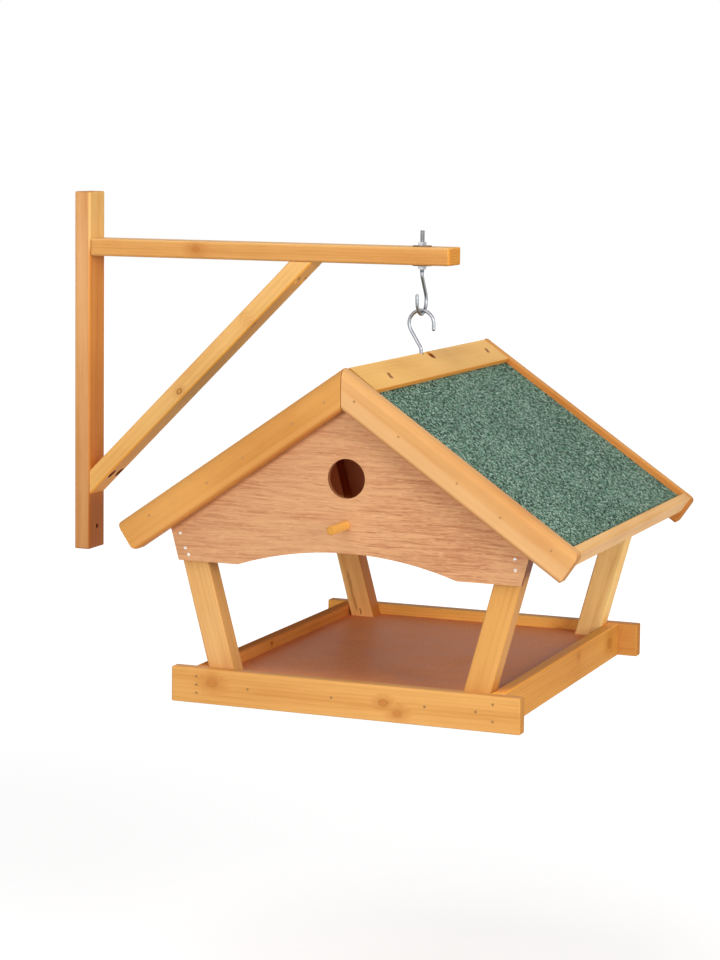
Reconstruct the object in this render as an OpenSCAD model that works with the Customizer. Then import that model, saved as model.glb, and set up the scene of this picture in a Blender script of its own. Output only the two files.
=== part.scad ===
// Hanging bird feeder house with a felted roof, on a wooden wall bracket.
// Millimetres. The origin is on the back face of the wall post, at mid-width,
// level with the top of the arm. +X runs out along the arm, +Z is up.

/* [Bracket] */
// Thickness of the bracket's wood
wood_t = 17; // [14:0.5:24]
// Width of the bracket's wood
wood_w = 32; // [28:1:44]
// Height of the post above the arm
post_above = 45.5; // [42:0.5:80]
// Length of the post below the arm's top
post_below = 306.5; // [295:0.5:360]
// Length of the arm from the face of the post
arm_l = 372; // [340:1:420]
// Reach of the brace along the underside of the arm
brace_reach = 210.5; // [150:0.5:225]
// Rounding of the bracket's arrises
bracket_arris = 2.5; // [0.5:0.1:5]

/* [Bracket fixings] */
// Diameter of the screws
screw_d = 4; // [3:0.1:5]
// Diameter of the screw heads
screw_head_d = 7.5; // [6:0.1:9]
// Distance between the two screws of a pair
screw_pitch = 16; // [11:0.5:18]
// Length of the screws through the post into the arm
arm_screw_l = 50; // [35:1:70]
// Depth of the lower brace screws in the post
brace_screw_bite = 13; // [8:0.5:13]
// Depth of each brace screw's head below the wood
brace_head_sink = 3.6; // [3.2:0.1:4.5]
// Distance of the lower brace screws' mouths from the post
brace_screw_in = 20.5; // [14:0.5:21.5]
// Distance of the upper brace screws' mouths from the arm
brace_top_screw_in = 19; // [14:0.5:20]
// Diameter of the wall screw hole in the post
wall_hole_d = 4.5; // [4:0.1:6]
// Height of the wall screw hole above the post's lower end
wall_hole_up = 21.5; // [15:0.5:30]
// Diameter of the keyhole for the head of a wall screw
keyhole_d = 9; // [8:0.1:11]
// Width of the keyhole's slot
keyhole_slot = 4.5; // [4:0.1:6]
// Depth of the keyhole into the post
keyhole_depth = 7; // [6:0.1:9]
// Travel of the screw up the keyhole's slot
keyhole_travel = 11; // [10:0.5:14]
// Height of the keyhole above the arm's top
keyhole_up = 16; // [14:0.5:20]

/* [Hooks] */
// Diameter of the bare hook wire
wire_d = 3.4; // [3:0.1:3.9]
// Diameter of the hook's thread
thread_d = 4; // [4:0.1:5]
// Radius of the hook's loop, to the middle of the wire
hook_r = 12.2; // [9:0.1:15]
// Distance from the middle of the loop to the kink in the shank
hook_neck = 23.5; // [20:0.5:30]
// Straight end of the hook beyond its half turn
hook_tip = 7; // [4:0.5:8]
// Radius of the bend at the kink, to the middle of the wire
kink_r = 5; // [3:0.5:8]
// Distance of the upper hook from the arm's free end
hook_inset = 32.5; // [25:0.5:60]
// Middle of the upper hook's loop below the underside of the arm
hook_drop = 33.8; // [33:0.1:50]
// Height of the upper hook's stud above the arm
stud_above = 15; // [10:0.5:25]
// Width of the hook nuts across their flats
nut_af = 7; // [6.5:0.1:8]
// Height of the hook nuts
nut_h = 3.2; // [2.5:0.1:4]
// Diameter of the hook washers
washer_d = 18; // [12:0.5:24]
// Thickness of the hook washers
washer_t = 1; // [0.8:0.1:1.6]
// Middle of the ridge hook's loop above the peak of the roof
ridge_hook_up = 26.9; // [26:0.1:40]
// Length of the hooks' threads beyond the lower nuts
thread_past = 3; // [1:0.5:4]

/* [Tray] */
// Width of the tray across the side boards
tray_w = 292; // [270:1:320]
// Length of the tray over the end boards
tray_l = 380; // [340:1:440]
// Height of the tray boards
board_h = 32; // [30:0.5:42]
// Thickness of the tray boards
board_t = 12; // [10:0.5:15]
// Length of the front and back tray boards
end_board_l = 330; // [322:1:350]
// Rounding of the tray boards' arrises
board_arris = 1.8; // [0.4:0.1:3]
// Thickness of the tray floor
floor_t = 9; // [6:0.5:10]
// Height of the floor above the boards' lower edges
floor_up = 12.5; // [10:0.5:14]

/* [Legs] */
// Width of each leg, seen from the front
leg_w = 24; // [18:0.5:28]
// Depth of each leg, from front to back
leg_d = 20; // [15:0.5:26]
// Outward lean of the legs in degrees
leg_lean = 15.2; // [12:0.2:17]
// Rounding of the legs' arrises
leg_arris = 1.5; // [0.4:0.1:3]

/* [Gables] */
// Thickness of the plywood gables
gable_t = 5; // [4:0.5:8]
// Height of the gables' lower edges above the tray's lower edges
gable_up = 127.5; // [120:0.5:135]
// Overhang of each gable beyond the legs
gable_over = 1.5; // [0.5:0.1:4]
// Width of the arch in the gables' lower edges
arch_w = 206; // [160:1:220]
// Rise of the arch
arch_rise = 17; // [8:0.5:18]
// Diameter of the entrance hole
hole_d = 35; // [28:1:38]
// Height of the entrance hole's middle above the gable's lower edge
hole_up = 82.8; // [76:0.1:95]
// Diameter of the perch
perch_d = 8; // [6:0.5:10]
// Length of the perch in front of the gable
perch_l = 35; // [25:1:60]
// Middle of the perch below the middle of the hole
perch_down = 41; // [33:0.5:46]

/* [Roof] */
// Slope of the roof in degrees
roof_slope = 34.5; // [33:0.1:37]
// Height of the roof's peak above the tray's lower edges
peak_up = 307.75; // [300:0.25:320]
// Length of each slope, along the barge boards
slope_l = 262.5; // [250:0.5:275]
// Depth of the barge boards, square to the slope
barge_w = 30; // [26:0.5:38]
// Thickness of the barge boards
barge_t = 15; // [13:0.5:20]
// Rounding of the barge boards' outer upper arrises
barge_round = 8; // [4:0.5:9]
// Rounding of the barge boards' outer lower arrises
barge_low_round = 5; // [2:0.5:7]
// Rounding of the other barge arrises
barge_arris = 2; // [0.5:0.1:2]
// Larger rounding at one corner of each barge board's lower end
barge_nose = 6; // [3:0.5:8]
// Top of the felt below the barge boards' upper edges
felt_down = 6; // [5.5:0.1:7]
// Thickness of the felt
felt_t = 2; // [1:0.1:3]
// Thickness of the plywood under the felt
panel_t = 6; // [4:0.5:8]
// Width of each ridge board, down the slope
ridge_w = 32; // [26:0.5:45]
// Thickness of the ridge boards
ridge_t = 5.5; // [3:0.1:5.8]
// Gap between the ridge boards and the front barge boards, at the ridge
ridge_gap = 5; // [2:0.1:6]
// The same gap at the ridge boards' lower edges
ridge_low_gap = 2; // [1:0.1:4]
// Diameter of the stray blind bore in the right ridge board
stray_bore_d = 9; // [6:0.5:10]
// Thickness of the eave boards
eave_t = 9; // [6:0.5:12]
// Height of the eave boards, square to the slope
eave_h = 17; // [15.5:0.5:22]
// Inset of the eave boards from the barge boards' ends
eave_inset = 2; // [0.5:0.1:4]
// Width of the ridge beam
beam_w = 32; // [24:1:40]
// Height of the ridge beam
beam_h = 20; // [17:0.5:28]
// Rounding of the ridge and eave boards' arrises
trim_arris = 1; // [0.2:0.1:1.4]

/* [Nails] */
// Diameter of the nail shanks
nail_d = 1.5; // [1.2:0.1:1.8]
// Diameter of the nail heads
nail_head_d = 2.4; // [2.1:0.1:3.2]
// Length of the nails in the tray boards
tray_nail_l = 32; // [25:1:40]
// Length of the nails in the barge boards
barge_nail_l = 19; // [16.5:0.5:19.5]
// Length of the pins in the gables
pin_l = 20; // [12:0.5:22]
// Diameter of the pins' white heads
pin_head_d = 2.8; // [2.3:0.1:3.6]
// Length of the staples' crowns
staple_w = 7; // [5:0.5:9]
// Thickness of the staple wire
staple_d = 1.2; // [0.8:0.1:1.5]
// Angle of the staples' crowns to the slope in degrees
staple_turn = 28; // [0:1:60]

/* [Hidden] */
$fn = 64;
eps = 0.01;
far = 600;

// Clearances
hole_clear = 0.05;    // around fasteners
swivel_clear = 0.08;  // around the ridge hook, in the beam that carries it
swivel_gap = 0.1;     // between the beam and the washer that turns under it
loose_clear = 0.6;    // around the ridge hook, above the beam
hook_gap = 0.15;      // between the wires of the two hooks
mitre_gap = 0.25;     // from each barge board's mitre to the middle of the ridge

head_t = 0.8;         // thickness of nail and pin heads
head_cone = 2.4;      // length of the screws' countersunk heads
nail_wood = 1.2;      // plywood left above the nails at the gables' upper edges
staple_sink = 0.4;    // depth of the staples' crowns below the ridge boards' tops
perch_chamfer = 1;    // at the free end of the perch

// Places of the nails, as shares of half the length that they are spread over
floor_nail_at = [-0.67, -0.07, 0.58, 0.93];
// Places of the barge nails in the gables and of those in the roof panels' edges,
// as shares of the slope
left_gable_nail_at = [0.114, 0.249, 0.469, 0.629];
right_gable_nail_at = [0.1, 0.29, 0.539, 0.72];
left_panel_nail_at = 0.878;
right_panel_nail_at = 0.917;
// Staples: share of the ridge board's width, share of half the roof's length
staple_at = [[0.63, -0.68], [0.49, 0.826]];
// The stray bore in the same shares, and its depth as a share of the board's thickness
stray_bore_at = [0.14, 0.082];
stray_bore_depth = 0.72;
// Heights of the end nails, as shares of the boards' height
left_end_nail_at = [0.3, 0.53, 0.77];
right_end_nail_at = [0.3, 0.77];
// Gable pins: height above the gable's lower edge, share of the leg's width
left_pins = [[24.5, 0.28], [11.5, 0.34], [5.5, 0.4]];
right_pins = [[23, 0.42], [13.5, 0.3]];

// Bracket places
arm_end = wood_t + arm_l;
hook_x = arm_end - hook_inset;
brace_span = wood_t * sqrt(2);
screw_y = screw_pitch / 2;
brace_edge = brace_reach + brace_span;
brace_screw_l = brace_screw_in - brace_head_sink + brace_screw_bite;
keyhole_lip = 3;

// Hook places, measured down from the top of the arm
upper_loop_z = -wood_t - hook_drop;
ridge_loop_z = upper_loop_z - 2 * hook_r + wire_d + hook_gap;
peak_z = ridge_loop_z - ridge_hook_up;
house_z = peak_z - peak_up;
kink_angle = asin(hook_r / hook_neck);
nut_corner_r = nut_af / 2 / cos(30);

// Roof places, square to the slope
under_d = felt_down + felt_t + panel_t;
felt_l = slope_l - eave_inset - eave_t;
slope_tan = tan(roof_slope);
gable_nail_depth = under_d + nail_d / 2 + nail_wood;
panel_nail_depth = under_d - panel_t / 2;
under_peak = peak_up - under_d / cos(roof_slope);
half_l = tray_l / 2;
gable_in = half_l - board_t;
gable_out = gable_in + gable_t;
barge_out = gable_out + barge_t;
beam_bottom = under_peak - beam_h;
ridge_shank = ridge_hook_up - hook_neck + peak_up - beam_bottom
    + swivel_gap + washer_t + nut_h + thread_past;
upper_shank = stud_above + wood_t + hook_drop - hook_neck;

// Tray and leg places
side_in = tray_w / 2 - board_t;
floor_top = floor_up + floor_t;
lean_tan = tan(leg_lean);
leg_across = leg_w / cos(leg_lean);

// Outer side of a leg at a height above the tray's lower edges
function leg_x(z) = side_in + (z - board_h) * lean_tan;

gable_half = leg_x(gable_up) + gable_over;
gable_corner_z = (under_peak - slope_tan * (gable_half - gable_up * lean_tan))
    / (1 + slope_tan * lean_tan);
gable_corner_x = gable_half + (gable_corner_z - gable_up) * lean_tan;
arch_r = (arch_w * arch_w / 4 + arch_rise * arch_rise) / (2 * arch_rise);

// Rectangle from the origin with one rounding radius for each corner,
// counted anticlockwise from the corner at the origin
module round_rect(size, r) {
    corner = [[0, 0], [size.x, 0], [size.x, size.y], [0, size.y]];
    inward = [[1, 1], [-1, 1], [-1, -1], [1, -1]];
    difference() {
        square(size);
        for (i = [0:3]) {
            translate(corner[i]) difference() {
                translate([min(0, inward[i].x) * r[i] - eps * max(0, inward[i].x),
                           min(0, inward[i].y) * r[i] - eps * max(0, inward[i].y)])
                    square(r[i] + eps);
                translate(inward[i] * r[i]) circle(r[i]);
            }
        }
    }
}

// Board from the origin, with the arrises along X, Y and Z rounded
module board(size, arris) {
    intersection() {
        rotate([90, 0, 90])
            linear_extrude(size.x) round_rect([size.y, size.z], arris * [1, 1, 1, 1]);
        translate([0, size.y, 0]) rotate([90, 0, 0])
            linear_extrude(size.y) round_rect([size.x, size.z], arris * [1, 1, 1, 1]);
        linear_extrude(size.z) round_rect([size.x, size.y], arris * [1, 1, 1, 1]);
    }
}

// Extrudes a shape drawn in X and Z by a width along Y, about y = 0
module across(width) {
    translate([0, width / 2, 0]) rotate([90, 0, 0]) linear_extrude(width) children();
}

// Countersunk screw along +X from its head's face at the origin
module screw(length, grow = 0) {
    rotate([0, 90, 0]) {
        cylinder(h = length + grow, d = screw_d + 2 * grow);
        cylinder(h = head_cone, d1 = screw_head_d + 2 * grow, d2 = screw_d + 2 * grow);
    }
}

// Nail along +Y from its head's face at the origin
module nail(length, head_d, grow = 0) {
    rotate([-90, 0, 0]) {
        cylinder(h = length + grow, d = nail_d + 2 * grow, $fn = 32);
        translate([0, 0, -grow]) cylinder(h = head_t + grow, d = head_d + 2 * grow, $fn = 32);
    }
}

// Bent wire hook in X and Z: loop about the origin, open at the top on the left,
// its shank rising on x = 0 and kinked over to the right side of the loop
module wire_hook(shank_l, thread_l) {
    kink_rise = kink_r * tan(kink_angle / 2);
    bend_out = hook_neck * cos(kink_angle);
    wire_circle = wire_d / 2;
    // Loop, from the tip round the bottom to where the neck leaves it
    rotate([90, 0, 0]) rotate([0, 0, 180])
        rotate_extrude(angle = 180 + kink_angle) translate([hook_r, 0]) circle(wire_circle);
    // Tip with a rounded end
    translate([-hook_r, 0, 0]) {
        cylinder(h = hook_tip - wire_circle, d = wire_d);
        translate([0, 0, hook_tip - wire_circle]) sphere(wire_circle);
    }
    // Straight neck, which laps by a hair over the loop and over the bend at the kink
    translate([hook_r * cos(kink_angle), 0, hook_r * sin(kink_angle)])
        rotate([0, -kink_angle, 0]) translate([0, 0, -5 * eps])
            cylinder(h = bend_out - kink_rise + 10 * eps, d = wire_d + 2 * eps);
    // Bend at the kink
    translate([kink_r, 0, hook_neck + kink_rise]) rotate([90, 0, 0])
        rotate([0, 0, 180]) rotate_extrude(angle = kink_angle)
            translate([kink_r, 0]) circle(wire_circle);
    // Shank and thread
    translate([0, 0, hook_neck + kink_rise])
        cylinder(h = shank_l - thread_l - kink_rise, d = wire_d);
    translate([0, 0, hook_neck + shank_l - thread_l]) cylinder(h = thread_l, d = thread_d);
}

module hook_nut() {
    difference() {
        cylinder(h = nut_h, r = nut_corner_r, $fn = 6);
        translate([0, 0, -1]) cylinder(h = nut_h + 2, d = thread_d + 2 * hole_clear);
    }
}

module hook_washer() {
    difference() {
        cylinder(h = washer_t, d = washer_d);
        translate([0, 0, -1]) cylinder(h = washer_t + 2, d = thread_d + 2 * hole_clear);
    }
}

// Bracket

module arm_screw_set(grow = 0) {
    for (y = [-screw_y, screw_y]) {
        translate([0, y, -wood_t / 2]) screw(arm_screw_l, grow);
    }
}

// Puts a child that points along +X at each brace screw's head: level at the lower
// end of the brace, upright at its upper end
module at_brace_screws() {
    for (y = [-screw_y, screw_y]) {
        translate([wood_t + brace_screw_in - brace_head_sink, y,
                   -wood_t - brace_edge + brace_screw_in])
            rotate([0, 0, 180]) children();
        translate([wood_t + brace_edge - brace_top_screw_in, y,
                   -wood_t - brace_top_screw_in + brace_head_sink])
            rotate([0, -90, 0]) children();
    }
}

module brace_screw_set(grow = 0) {
    at_brace_screws() screw(brace_screw_l, grow);
}

// Counterbores in front of the brace screws' heads
module brace_head_room() {
    room = 2 * screw_head_d;
    at_brace_screws() translate([eps - room, 0, 0]) rotate([0, 90, 0])
        cylinder(h = room, d = screw_head_d + 2 * hole_clear);
}

// Pocket in the post's back that drops over a screw head and slides down on it
module keyhole() {
    translate([-eps, 0, keyhole_up]) rotate([0, 90, 0]) {
        cylinder(h = keyhole_depth + eps, d = keyhole_d);
    }
    translate([-eps, -keyhole_slot / 2, keyhole_up])
        cube([keyhole_depth + eps, keyhole_slot, keyhole_travel]);
    translate([-eps, 0, keyhole_up + keyhole_travel]) rotate([0, 90, 0])
        cylinder(h = keyhole_depth + eps, d = keyhole_slot);
    translate([keyhole_lip, -keyhole_d / 2, keyhole_up])
        cube([keyhole_depth - keyhole_lip, keyhole_d, keyhole_travel]);
    translate([keyhole_lip, 0, keyhole_up + keyhole_travel]) rotate([0, 90, 0])
        cylinder(h = keyhole_depth - keyhole_lip, d = keyhole_d);
}

module wall_post() {
    color("peru") difference() {
        translate([0, -wood_w / 2, -post_below])
            board([wood_t, wood_w, post_above + post_below], bracket_arris);
        arm_screw_set(hole_clear);
        brace_screw_set(hole_clear);
        keyhole();
        translate([-1, 0, wall_hole_up - post_below]) rotate([0, 90, 0])
            cylinder(h = wood_t + 2, d = wall_hole_d);
    }
}

module arm() {
    color("peru") difference() {
        translate([wood_t, -wood_w / 2, -wood_t])
            board([arm_l, wood_w, wood_t], bracket_arris);
        arm_screw_set(hole_clear);
        brace_screw_set(hole_clear);
        translate([hook_x, 0, -wood_t - 1]) cylinder(h = wood_t + 2, d = thread_d + 2 * hole_clear);
    }
}

// A square bar set at 45 degrees, with both ends sawn flush to the post and the arm
module brace() {
    length = brace_edge * sqrt(2);
    color("burlywood") difference() {
        intersection() {
            translate([wood_t, 0, -wood_t - brace_edge]) rotate([0, -45, 0])
                translate([-wood_w, -wood_w / 2, 0])
                    board([length + 2 * wood_w, wood_w, wood_t], bracket_arris);
            translate([wood_t, -wood_w, -wood_t - far]) cube([far, 2 * wood_w, far]);
        }
        brace_screw_set(hole_clear);
        brace_head_room();
    }
}

module brace_screws() {
    color("goldenrod") brace_screw_set();
}

module arm_screws() {
    color("goldenrod") arm_screw_set();
}

// Upper hook, in the plane across the arm, with its tip on the near side
module upper_hook() {
    color("silver") translate([hook_x, 0, upper_loop_z]) rotate([0, 0, 90])
        wire_hook(upper_shank, stud_above + wood_t + washer_t + nut_h + thread_past);
}

module upper_hook_nuts() {
    color("silver") {
        translate([hook_x, 0, washer_t]) hook_nut();
        translate([hook_x, 0, -wood_t - washer_t - nut_h]) hook_nut();
    }
}

module upper_hook_washers() {
    color("lightgray") {
        translate([hook_x, 0, 0]) hook_washer();
        translate([hook_x, 0, -wood_t - washer_t]) hook_washer();
    }
}

// Ridge hook, the same hook upside down in the plane along the arm

module ridge_hook() {
    color("silver") translate([hook_x, 0, ridge_loop_z]) rotate([0, 180, 0])
        wire_hook(ridge_shank, beam_h + washer_t + nut_h + thread_past);
}

module ridge_hook_nut() {
    color("silver") translate([hook_x, 0, house_z + beam_bottom - swivel_gap - washer_t - nut_h])
        hook_nut();
}

module ridge_hook_washer() {
    color("lightgray") translate([hook_x, 0, house_z + beam_bottom - swivel_gap - washer_t])
        hook_washer();
}

// House, drawn about its own middle with z = 0 at the tray's lower edges

module in_house() {
    translate([hook_x, 0, house_z]) children();
}

// Turns what is drawn for the front into what stands at the back
module at_back() {
    mirror([0, 1, 0]) children();
}

// Nails through the front tray board, into the side boards' ends and the floor's edge
module end_nails(grow = 0) {
    for (share = left_end_nail_at) {
        translate([-side_in - board_t / 2, -half_l, board_h * share])
            nail(tray_nail_l, nail_head_d, grow);
    }
    for (share = right_end_nail_at) {
        translate([side_in + board_t / 2, -half_l, board_h * share])
            nail(tray_nail_l, nail_head_d, grow);
    }
    for (share = floor_nail_at) {
        translate([side_in * share, -half_l, floor_up + floor_t / 2])
            nail(tray_nail_l, nail_head_d, grow);
    }
}

module tray_nail_set(grow = 0) {
    end_nails(grow);
    at_back() end_nails(grow);
}

module end_board() {
    translate([-end_board_l / 2, -half_l, 0]) board([end_board_l, board_t, board_h], board_arris);
}

module tray_front_board() {
    color("burlywood") in_house() difference() {
        end_board();
        tray_nail_set(hole_clear);
    }
}

module tray_back_board() {
    color("burlywood") in_house() difference() {
        at_back() end_board();
        tray_nail_set(hole_clear);
    }
}

module side_board(x) {
    difference() {
        translate([x, -gable_in, 0]) board([board_t, 2 * gable_in, board_h], board_arris);
        tray_nail_set(hole_clear);
    }
}

module tray_left_board() {
    color("peru") in_house() side_board(-side_in - board_t);
}

module tray_right_board() {
    color("peru") in_house() side_board(side_in);
}

module tray_floor() {
    color("saddlebrown") in_house() difference() {
        translate([-side_in, -gable_in, floor_up]) cube([2 * side_in, 2 * gable_in, floor_t]);
        tray_nail_set(hole_clear);
    }
}

module tray_nails() {
    color("gray") in_house() tray_nail_set();
}

// Everything above a height and under the roof panels
module roof_wedge(z) {
    reach = (under_peak - z) / slope_tan;
    across(2 * far) polygon([[-reach, z], [reach, z], [0, under_peak]]);
}

// Front right leg, leaning outward from the tray floor to the roof panel
module leg_stock() {
    intersection() {
        translate([side_in, -gable_in, board_h]) rotate([0, leg_lean, 0])
            translate([-leg_w, 0, -far / 4]) board([leg_w, leg_d, far], leg_arris);
        roof_wedge(floor_top);
    }
}

module right_leg() {
    difference() {
        leg_stock();
        gable_pin_set(hole_clear);
    }
}

module left_leg() {
    difference() {
        mirror([1, 0, 0]) leg_stock();
        gable_pin_set(hole_clear);
    }
}

module leg_front_left() {
    color("burlywood") in_house() left_leg();
}

module leg_front_right() {
    color("burlywood") in_house() right_leg();
}

module leg_back_left() {
    color("burlywood") in_house() at_back() left_leg();
}

module leg_back_right() {
    color("burlywood") in_house() at_back() right_leg();
}

// Pins through the front gable into the legs behind it
module gable_pin_set(grow = 0) {
    for (pin = left_pins) {
        translate([pin[1] * leg_across - leg_x(gable_up + pin[0]), -gable_out - head_t, gable_up + pin[0]])
            nail(pin_l, pin_head_d, grow);
    }
    for (pin = right_pins) {
        translate([leg_x(gable_up + pin[0]) - pin[1] * leg_across, -gable_out - head_t, gable_up + pin[0]])
            nail(pin_l, pin_head_d, grow);
    }
}

module gable_pins() {
    color("white") in_house() {
        gable_pin_set();
        at_back() gable_pin_set();
    }
}

// Plain front gable with its arched lower edge and nail holes
module gable_sheet() {
    difference() {
        translate([0, -gable_in - gable_t / 2, 0]) across(gable_t) polygon([
            [-gable_half, gable_up], [gable_half, gable_up],
            [gable_corner_x, gable_corner_z], [0, under_peak],
            [-gable_corner_x, gable_corner_z]
        ]);
        translate([0, -gable_in - gable_t / 2, gable_up + arch_rise - arch_r]) rotate([90, 0, 0])
            cylinder(h = gable_t + 2, r = arch_r, center = true, $fn = 256);
        gable_pin_set(hole_clear);
        barge_nail_set(hole_clear);
    }
}

module front_gable() {
    color("tan") in_house() difference() {
        gable_sheet();
        translate([0, -gable_in - gable_t / 2, gable_up + hole_up]) rotate([90, 0, 0])
            cylinder(h = gable_t + 2, d = hole_d, center = true);
        translate([0, -gable_in - gable_t / 2, gable_up + hole_up - perch_down]) rotate([90, 0, 0])
            cylinder(h = gable_t + 2, d = perch_d + 2 * hole_clear, center = true);
    }
}

module back_gable() {
    color("tan") in_house() at_back() gable_sheet();
}

module perch() {
    color("burlywood") in_house()
        translate([0, -gable_in, gable_up + hole_up - perch_down]) rotate([90, 0, 0]) {
            cylinder(h = gable_t + perch_l - perch_chamfer, d = perch_d);
            translate([0, 0, gable_t + perch_l - perch_chamfer])
                cylinder(h = perch_chamfer, d1 = perch_d, d2 = perch_d - 2 * perch_chamfer);
        }
}

// Puts what is drawn along +X, with +Z square to the roof, on the right slope
module on_slope() {
    translate([0, 0, peak_up]) rotate([0, roof_slope, 0]) children();
}

// Keeps what lies on the right of the ridge
module right_of_ridge(inset = 0) {
    intersection() {
        on_slope() children();
        translate([inset, -far, -far]) cube([far, 2 * far, 3 * far]);
    }
}

// Front right barge board: profile across the slope, lower end with its own roundings
// at the bottom and at the top
module barge(bottom_r, top_r) {
    start = -barge_w;
    right_of_ridge(mitre_gap) intersection() {
        translate([start, -barge_out, -barge_w]) rotate([90, 0, 90])
            linear_extrude(slope_l - start)
                round_rect([barge_t, barge_w],
                           [barge_low_round, barge_arris, barge_arris, barge_round]);
        translate([start, -gable_out, -barge_w]) rotate([90, 0, 0])
            linear_extrude(barge_t)
                round_rect([slope_l - start, barge_w], [eps, bottom_r, top_r, eps]);
    }
}

module barge_nail(share, depth, grow) {
    on_slope() translate([slope_l * share, -barge_out, -depth])
        nail(barge_nail_l, nail_head_d, grow);
}

// Nails of a right barge board, into the gable's edge and, near the eave, the panel's edge
module barge_nail_row(gable_at, panel_at, grow) {
    for (share = gable_at) {
        barge_nail(share, gable_nail_depth, grow);
    }
    barge_nail(panel_at, panel_nail_depth, grow);
}

module barge_nail_set(grow = 0) {
    barge_nail_row(right_gable_nail_at, right_panel_nail_at, grow);
    mirror([1, 0, 0]) barge_nail_row(left_gable_nail_at, left_panel_nail_at, grow);
}

module all_barge_nails(grow = 0) {
    barge_nail_set(grow);
    at_back() barge_nail_set(grow);
}

module right_barge() {
    difference() {
        barge(barge_arris, barge_nose);
        barge_nail_set(hole_clear);
    }
}

// The same board turned end for end, so the larger rounding is at the bottom
module left_barge() {
    difference() {
        mirror([1, 0, 0]) barge(barge_nose, barge_arris);
        barge_nail_set(hole_clear);
    }
}

module barge_front_right() {
    color("burlywood") in_house() right_barge();
}

module barge_front_left() {
    color("peru") in_house() left_barge();
}

module barge_back_right() {
    color("burlywood") in_house() at_back() right_barge();
}

module barge_back_left() {
    color("burlywood") in_house() at_back() left_barge();
}

module barge_nails() {
    color("gray") in_house() all_barge_nails();
}

// Hole down through the roof for the ridge hook, and holes for the staples
module roof_cuts() {
    cylinder(h = far, d = thread_d + 2 * loose_clear);
    staple_set(hole_clear, ridge_t);
    mirror([1, 0, 0]) staple_set(hole_clear, ridge_t);
}

// Flat sheet on the right slope between two depths, from the ridge down to an end
module slope_sheet(top, thickness, length) {
    difference() {
        right_of_ridge()
            translate([-far / 4, -gable_out, -top - thickness])
                cube([far / 4 + length, 2 * gable_out, thickness]);
        roof_cuts();
    }
}

module roof_panel_right() {
    color("burlywood") in_house() difference() {
        slope_sheet(felt_down + felt_t, panel_t, felt_l);
        all_barge_nails(hole_clear);
    }
}

module roof_panel_left() {
    color("burlywood") in_house() difference() {
        mirror([1, 0, 0]) slope_sheet(felt_down + felt_t, panel_t, felt_l);
        all_barge_nails(hole_clear);
    }
}

module roof_felt_right() {
    color("seagreen") in_house() slope_sheet(felt_down, felt_t, felt_l);
}

module roof_felt_left() {
    color("seagreen") in_house() mirror([1, 0, 0]) slope_sheet(felt_down, felt_t, felt_l);
}

module eave_board() {
    on_slope() translate([felt_l, -gable_out, -eave_h])
        board([eave_t, 2 * gable_out, eave_h], trim_arris);
}

module eave_board_right() {
    color("burlywood") in_house() eave_board();
}

module eave_board_left() {
    color("burlywood") in_house() mirror([1, 0, 0]) eave_board();
}

// Right ridge board, sawn out of square at its front end
module ridge_board() {
    difference() {
        right_of_ridge() difference() {
            translate([-ridge_w, -gable_out, -felt_down])
                board([2 * ridge_w, 2 * gable_out, ridge_t], trim_arris);
            translate([0, -gable_out, -felt_down - 1]) linear_extrude(ridge_t + 2) polygon([
                [-ridge_w, -ridge_w], [2 * ridge_w, -ridge_w],
                [2 * ridge_w, 2 * ridge_low_gap - ridge_gap], [-ridge_w, 2 * ridge_gap - ridge_low_gap]
            ]);
        }
        roof_cuts();
    }
}

// Blind bore from the right ridge board's top, open on the mitre
module stray_bore() {
    depth = ridge_t * stray_bore_depth;
    on_slope() translate([ridge_w * stray_bore_at.x, gable_out * stray_bore_at.y,
                          ridge_t - felt_down - depth])
        cylinder(h = 2 * ridge_t, d = stray_bore_d);
}

module ridge_board_right() {
    color("burlywood") in_house() difference() {
        ridge_board();
        stray_bore();
    }
}

module ridge_board_left() {
    color("burlywood") in_house() mirror([1, 0, 0]) ridge_board();
}

// Staples through the right ridge board and the felt into the panel, sunk askew;
// room is the height of the open slot over each crown
module staple_set(grow = 0, room = 0) {
    leg = ridge_t - staple_sink + felt_t + panel_t / 2;
    wire = staple_d + 2 * grow;
    for (place = staple_at) {
        on_slope() translate([ridge_w * place.x, gable_out * place.y, ridge_t - felt_down - staple_sink])
            rotate([0, 0, -staple_turn]) {
                translate([-staple_w / 2 - grow, -wire / 2, -staple_d - grow])
                    cube([staple_w + 2 * grow, wire, staple_d + grow + room]);
                for (end = [-1, 1]) {
                    translate([end * (staple_w - staple_d) / 2 - wire / 2, -wire / 2, -leg - grow])
                        cube([wire, wire, leg - staple_d + grow]);
                }
            }
    }
}

module ridge_staples() {
    color("dimgray") in_house() {
        staple_set();
        mirror([1, 0, 0]) staple_set();
    }
}

// Beam under the ridge between the gables, bored for the ridge hook
module ridge_beam() {
    edge = under_peak - beam_w / 2 * slope_tan;
    color("burlywood") in_house() difference() {
        across(2 * gable_in) polygon([
            [-beam_w / 2, beam_bottom], [beam_w / 2, beam_bottom],
            [beam_w / 2, edge], [0, under_peak], [-beam_w / 2, edge]
        ]);
        translate([0, 0, beam_bottom - 1]) cylinder(h = beam_h + 2, d = thread_d + 2 * swivel_clear);
    }
}

wall_post();
arm();
brace();
brace_screws();
arm_screws();
upper_hook();
upper_hook_nuts();
upper_hook_washers();
ridge_hook();
ridge_hook_nut();
ridge_hook_washer();
tray_front_board();
tray_back_board();
tray_left_board();
tray_right_board();
tray_floor();
tray_nails();
leg_front_left();
leg_front_right();
leg_back_left();
leg_back_right();
front_gable();
back_gable();
gable_pins();
perch();
barge_front_left();
barge_front_right();
barge_back_left();
barge_back_right();
barge_nails();
roof_panel_left();
roof_panel_right();
roof_felt_left();
roof_felt_right();
eave_board_left();
eave_board_right();
ridge_board_left();
ridge_board_right();
ridge_staples();
ridge_beam();
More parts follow.
